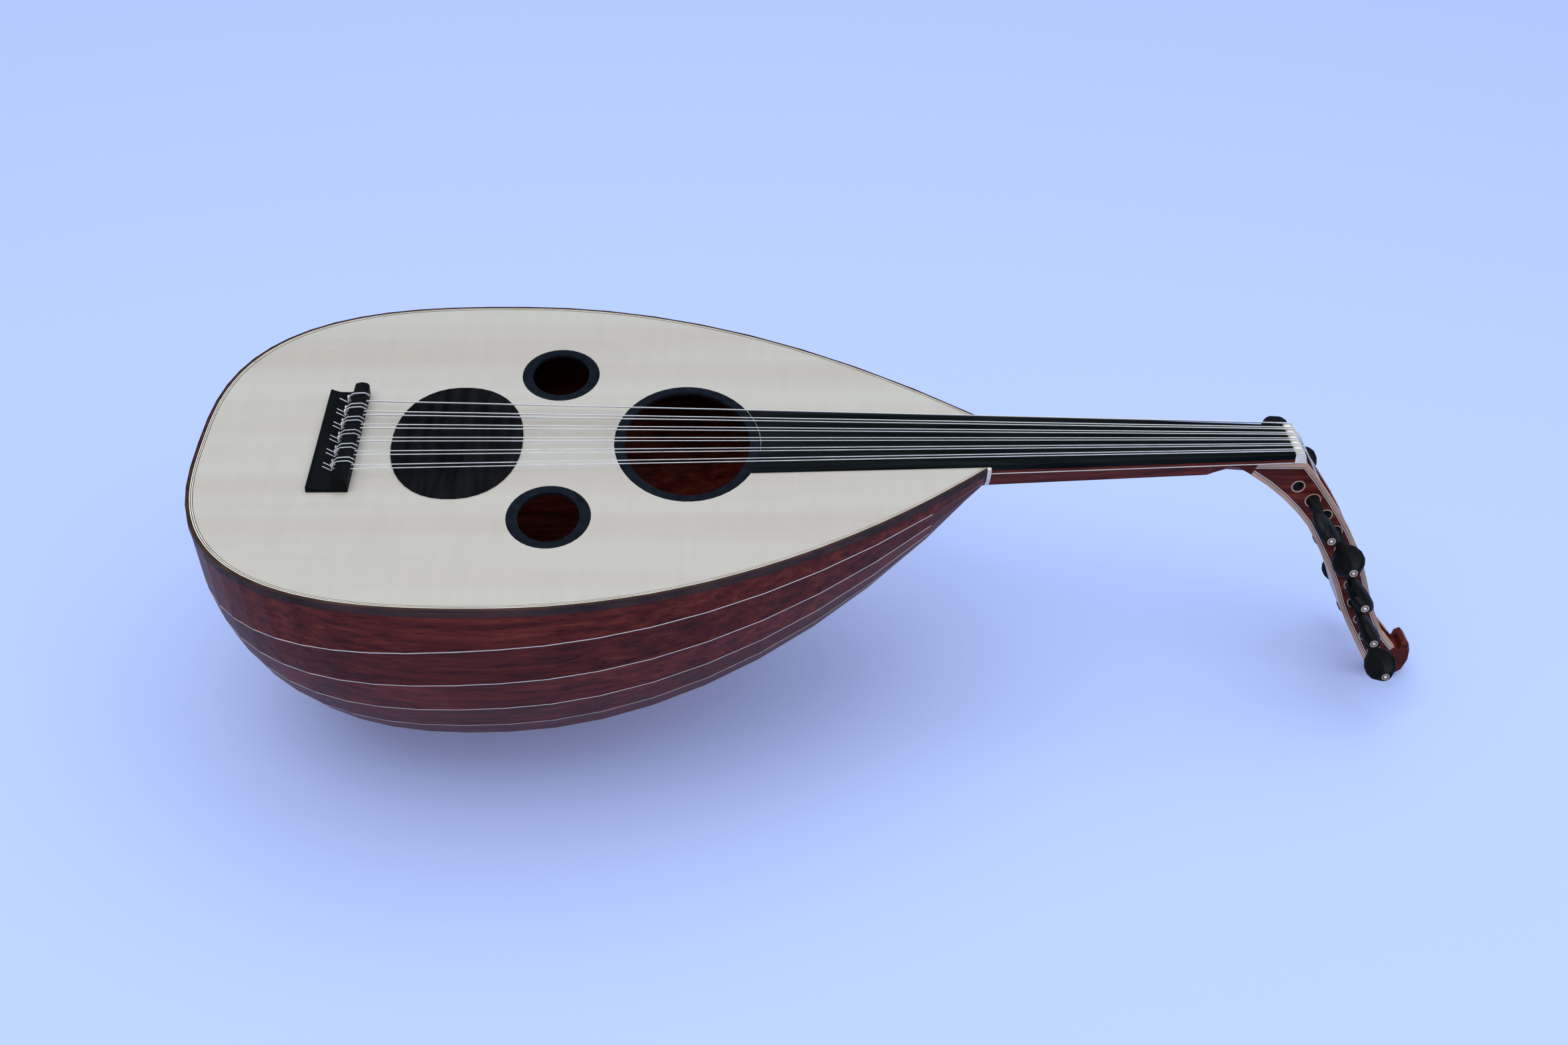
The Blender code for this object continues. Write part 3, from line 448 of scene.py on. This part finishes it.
def bone(name):
    look = Look(name, roughness=0.3, coat=0.3)
    stain = look.noise(scale=180.0, detail=5.0)
    look.paint(look.ramp(stain, (0.3, (0.60, 0.53, 0.42)), (0.6, (0.80, 0.77, 0.70))))
    return look.rough(stain, low=0.25, high=0.4).bump(stain, strength=0.05, distance=0.0002).done()


def wound_string(name):
    look = Look(name, roughness=0.28, metallic=0.9)
    turns = look.bands(scale=900.0, axis="X", distortion=0.0)
    # The darker part of each band is painted shade in the groove between neighbouring turns of the winding
    # wire; the same bands also set roughness and bump
    look.paint(look.ramp(turns, (0.0, (0.42, 0.43, 0.46)), (0.5, (0.86, 0.87, 0.90))))
    return look.rough(turns, low=0.2, high=0.4).bump(turns, strength=0.5, distance=0.0002).done()


def nylon(name):
    look = Look(name, roughness=0.16, coat=0.2)
    cloud = look.noise(scale=90.0, detail=2.0)
    look.paint(look.ramp(cloud, (0.3, (0.62, 0.66, 0.72)), (0.7, (0.80, 0.83, 0.88))))
    look.shader.inputs["Transmission Weight"].default_value = 0.35
    return look.rough(cloud, low=0.12, high=0.22).bump(cloud, strength=0.03, distance=0.0001).done()


# Looks that the trim pieces share
looks = {
    "dark_inlay": black_wood("dark_inlay", base=(0.010, 0.010, 0.012), pale=(0.03, 0.03, 0.03),
                             roughness=0.4, coat=0.2),
    "pale_inlay": plain_wood("pale_inlay", dark=(0.62, 0.56, 0.46), pale=(0.80, 0.75, 0.64)),
    "border": plain_wood("border_wood", dark=(0.36, 0.20, 0.12), pale=(0.62, 0.38, 0.24)),
    "bushing": plain_wood("bushing", dark=(0.30, 0.20, 0.13), pale=(0.52, 0.38, 0.27)),
    "pearl": bone("pearl"),
    "wound": wound_string("wound_string"),
    "nylon": nylon("nylon_string"),
}


def numbered(stem, first, last):
    return ["%s_%02d" % (stem, number) for number in range(first, last + 1)]


def dress(names, material):
    for name in names:
        piece = nodes[name]
        piece.data.materials.clear()
        piece.data.materials.append(material)


def dress_all():
    """Every node's material, and smooth shading up to its sharp edges."""
    for number, name in enumerate(numbered("rib", 1, RIB_COUNT)):
        dress([name], mahogany("mahogany_" + name, RIB_TONES[number % len(RIB_TONES)]))
    dress(["neck", "finial", "pegbox_cheek_near", "pegbox_cheek_far"], mahogany("mahogany_neck", NECK_TONE))
    dress(["soundboard"], spruce("spruce_top", pale=(0.47, 0.455, 0.41)))
    dress(["brace_1", "brace_2", "neck_block", "tail_block"],
          spruce("spruce_inside", pale=(0.52, 0.40, 0.27)))
    dress(["edge_binding"],
          black_wood("rosewood", base=(0.020, 0.010, 0.009), pale=(0.060, 0.028, 0.022),
                     roughness=0.35, coat=0.3))
    dress(["main_hole_ring", "near_hole_ring", "far_hole_ring"],
          black_wood("slate_ring", base=(0.006, 0.008, 0.012), pale=(0.011, 0.015, 0.022),
                     roughness=0.48, coat=0.0, stretch=EVEN))
    dress(["strike_plate"],
          black_wood("strike_plate", base=(0.003, 0.004, 0.005), pale=(0.012, 0.012, 0.013),
                     roughness=0.45, coat=0.0, stretch=CROSSWISE))
    dress(["bridge"],
          black_wood("bridge_black", base=(0.002, 0.003, 0.004), pale=(0.006, 0.007, 0.008),
                     roughness=0.22, coat=0.10, stretch=CROSSWISE))
    dress(["fingerboard"],
          black_wood("fingerboard", base=(0.004, 0.006, 0.007), pale=(0.012, 0.015, 0.017),
                     roughness=0.45, coat=0.0))
    dress(numbered("peg", 1, PEG_COUNT),
          black_wood("peg_black", base=(0.003, 0.004, 0.005), pale=(0.012, 0.013, 0.014),
                     roughness=0.26, coat=0.12, stretch=CROSSWISE))
    dress(["pegbox_back"], looks["bushing"])
    dress(["nut", "neck_collar"], bone("bone"))
    dress(numbered("string", 1, WOUND_STRINGS), looks["wound"])
    dress(numbered("string", WOUND_STRINGS + 1, STRING_COUNT), looks["nylon"])
    for piece in nodes.values():
        piece.data.shade_smooth()
        piece.data.set_sharp_from_angle(angle=math.radians(NODE_CREASE))


# Shared building blocks of the trim

def mix(a, b, share):
    return a + (b - a) * share


def add_piece(name, shape, materials, body="oud"):
    bmesh.ops.recalc_face_normals(shape, faces=shape.faces)
    mesh = bpy.data.meshes.new(name)
    shape.to_mesh(mesh)
    shape.free()
    mesh.shade_smooth()
    mesh.set_sharp_from_angle(angle=math.radians(TRIM_CREASE))
    piece = bpy.data.objects.new(name, mesh)
    bpy.context.scene.collection.objects.link(piece)
    for material in materials:
        mesh.materials.append(looks[material])
    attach(piece, body)


def add_wire(name, points, radius, look, body="oud"):
    curve = bpy.data.curves.new(name, "CURVE")
    curve.dimensions = "3D"
    curve.bevel_depth = radius
    curve.bevel_resolution = WIRE_RESOLUTION
    curve.use_fill_caps = True
    spline = curve.splines.new("POLY")
    spline.points.add(len(points) - 1)
    for point, place in zip(spline.points, points):
        point.co = (*place, 1.0)
    spline.use_smooth = True
    wire = bpy.data.objects.new(name, curve)
    bpy.context.scene.collection.objects.link(wire)
    curve.materials.append(looks[look])
    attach(wire, body)


def join_rows(shape, row, following, material=0):
    """Faces between two rings of vertices."""
    for i in range(len(row)):
        k = (i + 1) % len(row)
        shape.faces.new((row[i], row[k], following[k], following[i])).material_index = material


def strip(shape, rings):
    """A closed strip through rings of equal point counts."""
    rows = [[shape.verts.new(SEAT + Vector(point)) for point in ring] for ring in rings]
    for row, following in zip(rows, rows[1:]):
        join_rows(shape, row, following)
    shape.faces.new(list(reversed(rows[0])))
    shape.faces.new(rows[-1])


def lathe(shape, profile, place, hand, sides, material=0, capped=False):
    """Turn (out, radius) points about the Y line through place, on the side that hand names.

    The profile closes on itself as a ring, or is capped at both ends."""
    angles = [2 * math.pi * n / sides for n in range(sides)]
    rows = [[shape.verts.new((place[0] + radius * math.cos(angle), place[1] + hand * out,
                              place[2] + radius * math.sin(angle))) for angle in angles]
            for out, radius in profile]
    for row, following in zip(rows, rows[1:] if capped else rows[1:] + rows[:1]):
        join_rows(shape, row, following, material)
    if capped:
        shape.faces.new(rows[0]).material_index = material
        shape.faces.new(rows[-1]).material_index = material


# Bowl and soundboard

def half_width(x, inset):
    """Half the width of the body at x, for a surface that far inside its outline."""
    tail = inset - TAIL_LENGTH
    if x <= WIDEST_X:
        share = min((WIDEST_X - x) / (WIDEST_X - tail), 1.0)
        return (BODY_HALF - inset) * (1 - share ** TAIL_FULLNESS_PLAN) ** (1 / TAIL_FULLNESS_PLAN)
    share = (x - WIDEST_X) / (JOINT_X - WIDEST_X)
    return JOINT_HALF - inset + (BODY_HALF - JOINT_HALF) * (1 - share ** 2)


def depth(x, inset):
    """Depth of the bowl at x under the soundboard's top, for a surface that far inside it."""
    tail = inset - TAIL_LENGTH
    if x <= DEEPEST_X:
        share = min((DEEPEST_X - x) / (DEEPEST_X - tail), 1.0)
        return (BODY_DEPTH - inset) * (1 - share ** TAIL_FULLNESS_SIDE) ** (1 / TAIL_FULLNESS_SIDE)
    share = (x - DEEPEST_X) / (JOINT_X - DEEPEST_X)
    return JOINT_DEPTH - inset + (BODY_DEPTH - JOINT_DEPTH) * (1 - share ** 2)


def on_bowl(x, angle, shift, inset):
    """The point at x where a seam's plane, moved sideways by shift, meets the bowl."""
    share = (x + TAIL_LENGTH) / (TAIL_LENGTH + JOINT_X)
    drop = mix(SEAM_DROP_TAIL, SEAM_DROP_NECK, share)
    across = (-math.cos(angle), -math.sin(angle))
    start = (math.sin(angle) * shift, -drop - math.cos(angle) * shift)
    a = half_width(x, inset)
    b = depth(x, inset)
    square = (across[0] / a) ** 2 + (across[1] / b) ** 2
    middle = start[0] * across[0] / a ** 2 + start[1] * across[1] / b ** 2
    rest = (start[0] / a) ** 2 + (start[1] / b) ** 2 - 1
    reach = (-middle + math.sqrt(max(middle ** 2 - square * rest, 0.0))) / square
    return (x, start[0] + across[0] * reach, start[1] + across[1] * reach)


def station_xs(start, end, count):
    """Places along the body, closer together near the tail's steep end."""
    return [start + (end - start) * (1 - math.cos(math.pi / 2 * n / count)) ** STATION_POWER
            for n in range(count + 1)]


def add_seam_lines():
    """Pale lines between the ribs, a touch proud of the bowl, where it is deep enough."""
    shape = bmesh.new()
    for seam in range(1, RIB_COUNT):
        angle = math.pi * (seam - 1) / (RIB_COUNT - 2)
        rings = []
        for x in station_xs(SEAM_START_X, JOINT_X - SEAM_END_GAP, SEAM_STATIONS):
            if depth(x, BINDING_PROUD) < SEAM_LEAST_DEPTH:
                continue
            half = SEAM_WIDTH / 2 * min(1.0, SEAM_TAIL_SHARE + (x + TAIL_LENGTH) * SEAM_WIDENING)
            rings.append([on_bowl(x, angle, -half, BINDING_PROUD - PROUD),
                          on_bowl(x, angle, half, BINDING_PROUD - PROUD),
                          on_bowl(x, angle, half, SEAM_FOOT_INSET),
                          on_bowl(x, angle, -half, SEAM_FOOT_INSET)])
        strip(shape, rings)
    add_piece("seam_lines", shape, ["pale_inlay"])


def body_outline(inset):
    """The outline that far inside the body's: down the near side to the tail, and up the far side."""
    xs = station_xs(inset - TAIL_LENGTH, JOINT_X - PURFLING_END_GAP, PURFLING_STATIONS)
    near = [(x, -half_width(x, inset)) for x in reversed(xs)]
    return near + [(x, half_width(x, inset)) for x in xs[1:]]


def add_purfling():
    """Fine light and dark lines let into the soundboard beside the binding."""
    for number, (start, end, look) in enumerate(PURFLING_LINES, 1):
        shape = bmesh.new()
        first = body_outline(BOARD_INSET + start)
        second = body_outline(BOARD_INSET + end)
        strip(shape, [[(x, y, PROUD), (u, v, PROUD), (u, v, -PURFLING_DEPTH), (x, y, -PURFLING_DEPTH)]
                      for (x, y), (u, v) in zip(first, second)])
        add_piece("purfling_%d" % number, shape, [look])


# Pegbox and neck

def smooth_curve(points, steps):
    """Evenly spaced points on a smooth curve through the given points."""
    dense = []
    last = len(points) - 1
    for i in range(last):
        before = points[max(i - 1, 0)]
        after = points[min(i + 2, last)]
        for k in range(CURVE_SAMPLES):
            t = k / CURVE_SAMPLES
            dense.append(tuple(
                0.5 * (2 * q + (r - p) * t + (2 * p - 5 * q + 4 * r - s) * t ** 2
                       + (3 * q - p - 3 * r + s) * t ** 3)
                for p, q, r, s in zip(before, points[i], points[i + 1], after)))
    dense.append(tuple(points[-1]))
    lengths = [0.0]
    for p, q in zip(dense, dense[1:]):
        lengths.append(lengths[-1] + math.dist(p, q))
    spaced = []
    for n in range(steps + 1):
        goal = lengths[-1] * n / steps
        k = max(i for i in range(len(lengths) - 1) if lengths[i] <= goal + LENGTH_TOLERANCE)
        share = (goal - lengths[k]) / (lengths[k + 1] - lengths[k])
        spaced.append(tuple(mix(p, q, share) for p, q in zip(dense[k], dense[k + 1])))
    return spaced


def pegbox_rows():
    """Matched points of the pegbox's open and back edge, as in the solid model."""
    back = smooth_curve([(x + STRING_LENGTH, z) for x, z in PEGBOX_BACK_EDGE], PEGBOX_STATIONS)
    front = smooth_curve([(x + STRING_LENGTH, z) for x, z in PEGBOX_OPEN_EDGE],
                         PEGBOX_STATIONS - ROOT_STATIONS)
    root_x = STRING_LENGTH - PEGBOX_ROOT + ROOT_GAP
    rows = []
    for n, rear in enumerate(back):
        if n < ROOT_STATIONS:
            ahead = (mix(root_x, front[0][0], n / ROOT_STATIONS), PEGBOX_TOP)
        else:
            x, z = front[n - ROOT_STATIONS]
            ahead = (x, min(z, PEGBOX_TOP))
        rows.append((ahead, (rear[0], min(rear[1], PEGBOX_TOP - LEAST_CHEEK_HEIGHT))))
    return rows


def cheek_y(z):
    """Half the pegbox's width at height z, measured from the soundboard's top."""
    return NUT_HALF + (TIP_HALF - NUT_HALF) * min(-z / TIP_DROP, 1.0)


def edge_strip(line, inward, near, far, hand, wrap):
    """Rings of a strip on a cheek's outer face between two distances from its edge.

    With a wrap, the strip also turns over the edge and lies that far across it."""
    rings = []
    under = hand * STRIP_DEPTH
    for (x, z), (dx, dz) in zip(line, inward):
        a = (x + dx * near, z + dz * near)
        b = (x + dx * far, z + dz * far)
        out_a = hand * (cheek_y(a[1]) + EDGE_PROUD)
        out_b = hand * (cheek_y(b[1]) + EDGE_PROUD)
        if wrap:
            lip = (x - dx * EDGE_PROUD, z - dz * EDGE_PROUD)
            sunk = (x + dx * WRAP_DEPTH, z + dz * WRAP_DEPTH)
            lip_out = hand * (cheek_y(lip[1]) + EDGE_PROUD)
            lip_in = hand * (cheek_y(lip[1]) - wrap)
            rings.append([(lip[0], lip_out, lip[1]), (b[0], out_b, b[1]), (b[0], out_b - under, b[1]),
                          (sunk[0], hand * cheek_y(z) - under, sunk[1]),
                          (sunk[0], lip_in, sunk[1]), (lip[0], lip_in, lip[1])])
        else:
            rings.append([(a[0], out_a, a[1]), (b[0], out_b, b[1]), (b[0], out_b - under, b[1]),
                          (a[0], out_a - under, a[1])])
    return rings


def add_pegbox_borders():
    """Light wood along the cheeks' edges, with a dark and a pale line inside it."""
    rows = pegbox_rows()[1:]
    lines = {"open": [row[0] for row in rows], "back": [row[1] for row in rows]}
    inward = {"open": [], "back": []}
    for (fx, fz), (bx, bz) in rows:
        length = math.dist((fx, fz), (bx, bz))
        inward["open"].append(((bx - fx) / length, (bz - fz) / length))
        inward["back"].append(((fx - bx) / length, (fz - bz) / length))
    for side, hand in SIDES:
        for edge in ("open", "back"):
            for look, near, far, wrap in PEGBOX_STRIPS:
                shape = bmesh.new()
                strip(shape, edge_strip(lines[edge], inward[edge], near, far, hand, wrap))
                add_piece("pegbox_%s_%s_%s" % (side, edge, look), shape, [look])


def add_neck_lines():
    """A pale line along each side of the neck, under its upper layer's edge."""
    low = NECK_LINE_Z - NECK_LINE_WIDTH
    for side, hand in SIDES:
        rings = []
        for n in range(NECK_LINE_STEPS + 1):
            x = mix(JOINT_X + NECK_LINE_START, STRING_LENGTH - NECK_LINE_END_GAP, n / NECK_LINE_STEPS)
            y = mix(NECK_JOINT_HALF, NUT_HALF, (x - JOINT_X) / (STRING_LENGTH - JOINT_X))
            out = hand * (y + PROUD)
            sunk = hand * (y - NECK_LINE_WIDTH)
            rings.append([(x, out, NECK_LINE_Z), (x, out, low), (x, sunk, low), (x, sunk, NECK_LINE_Z)])
        shape = bmesh.new()
        strip(shape, rings)
        add_piece("neck_line_" + side, shape, ["pale_inlay"])


# Pegs and strings

def add_peg_trim():
    """A bushing round each bore of the cheeks, and an eye with a pearl in each peg's head.

    Odd pegs have their heads on the far side, and even ones on the near side."""
    bushings = bmesh.new()
    for number, joint in enumerate(frame["joints"], 1):
        x, _, z = joint["pos_m"]
        half = cheek_y(z - TOP)
        hand = -1 if number % 2 == 0 else 1
        for side in (-1, 1):
            inner = (PEG_RADIUS if side == hand else PEG_END_RADIUS) + BUSHING_GAP
            ring = [(0.0, inner), (BUSHING_RISE, inner + BUSHING_BEVEL),
                    (BUSHING_RISE, inner + BUSHING_WIDTH - 2 * BUSHING_BEVEL), (0.0, inner + BUSHING_WIDTH)]
            lathe(bushings, ring, (x, side * half, z), side, BUSHING_SIDES)
        eye = bmesh.new()
        end = (x, hand * (half + PEG_OUTSIDE), z)
        lathe(eye, EYE_RING, end, hand, EYE_RING_SIDES)
        lathe(eye, EYE_PEARL, end, hand, EYE_PEARL_SIDES, material=1, capped=True)
        add_piece("peg_%02d_eye" % number, eye, ["bushing", "pearl"], joint["child"])
    add_piece("peg_bushings", bushings, ["bushing"])


def string_radius(number):
    return STRING_DIAMETERS[number // 2] / 2


def string_look(number):
    return "wound" if number <= WOUND_STRINGS else "nylon"


def wrap_place(name, x, z):
    """The place across at which a string goes round the peg at x and z."""
    near = [v.co.y for v in nodes[name].data.vertices
            if math.dist((v.co.x, v.co.z), (x, z)) < PEG_RADIUS + WRAP_REACH]
    return sum(near) / len(near)


def add_windings():
    """Further turns of each string round its peg, beside the turn that the solid model holds."""
    for number, peg in enumerate(PEG_OF_STRING, 1):
        radius = string_radius(number)
        name = "string_%02d" % number
        x, _, z = frame["joints"][peg - 1]["pos_m"]
        last_y = wrap_place(name, x, z)
        room = cheek_y(z - TOP) - CHEEK_THICKNESS - WINDING_MARGIN
        step = radius * WINDING_PITCH
        toward = -1 if last_y > 0 else 1
        turns = min(WINDING_TURNS, int((room + abs(last_y)) / step) - 1)
        reach = PEG_RADIUS + WINDING_GAP + radius
        points = []
        for n in range(turns * TURN_POINTS + 1):
            angle = 2 * math.pi * n / TURN_POINTS
            y = last_y + toward * step * (WINDING_START + n / TURN_POINTS)
            points.append((x + reach * math.cos(angle), y, z + reach * math.sin(angle)))
        look = string_look(number)
        add_wire(name + "_winding", points, radius, look)


def add_tie_tails():
    """Each string's twisted end behind the tie block and its loose tail."""
    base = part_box("bridge")[0].z
    back = SEAT.x - TIE_BLOCK_LENGTH
    for number in range(1, STRING_COUNT + 1):
        name = "string_%02d" % number
        radius = string_radius(number)
        tied = [v.co.y for v in nodes[name].data.vertices if v.co.x < SEAT.x - TIED_X]
        y = sum(tied) / len(tied)
        wide = radius * TWIST_RADII
        points = []
        for n in range(TWIST_STEPS + 1):
            share = n / TWIST_STEPS
            angle = TWIST_ANGLE * share
            points.append((back - TWIST_BACK - TWIST_SWAY * math.sin(angle),
                           y + TWIST_SIDE + wide * math.cos(angle), base + TWIST_TOP - TWIST_DROP * share))
        for behind, aside, height in LOOSE_END:
            points.append((back - behind, y + aside, base + height + radius))
        look = string_look(number)
        add_wire(name + "_tail", points, radius * TAIL_THICKNESS, look)


place_camera()
make_room()
dress_all()
add_seam_lines()
add_purfling()
add_pegbox_borders()
add_neck_lines()
add_peg_trim()
add_windings()
add_tie_tails()
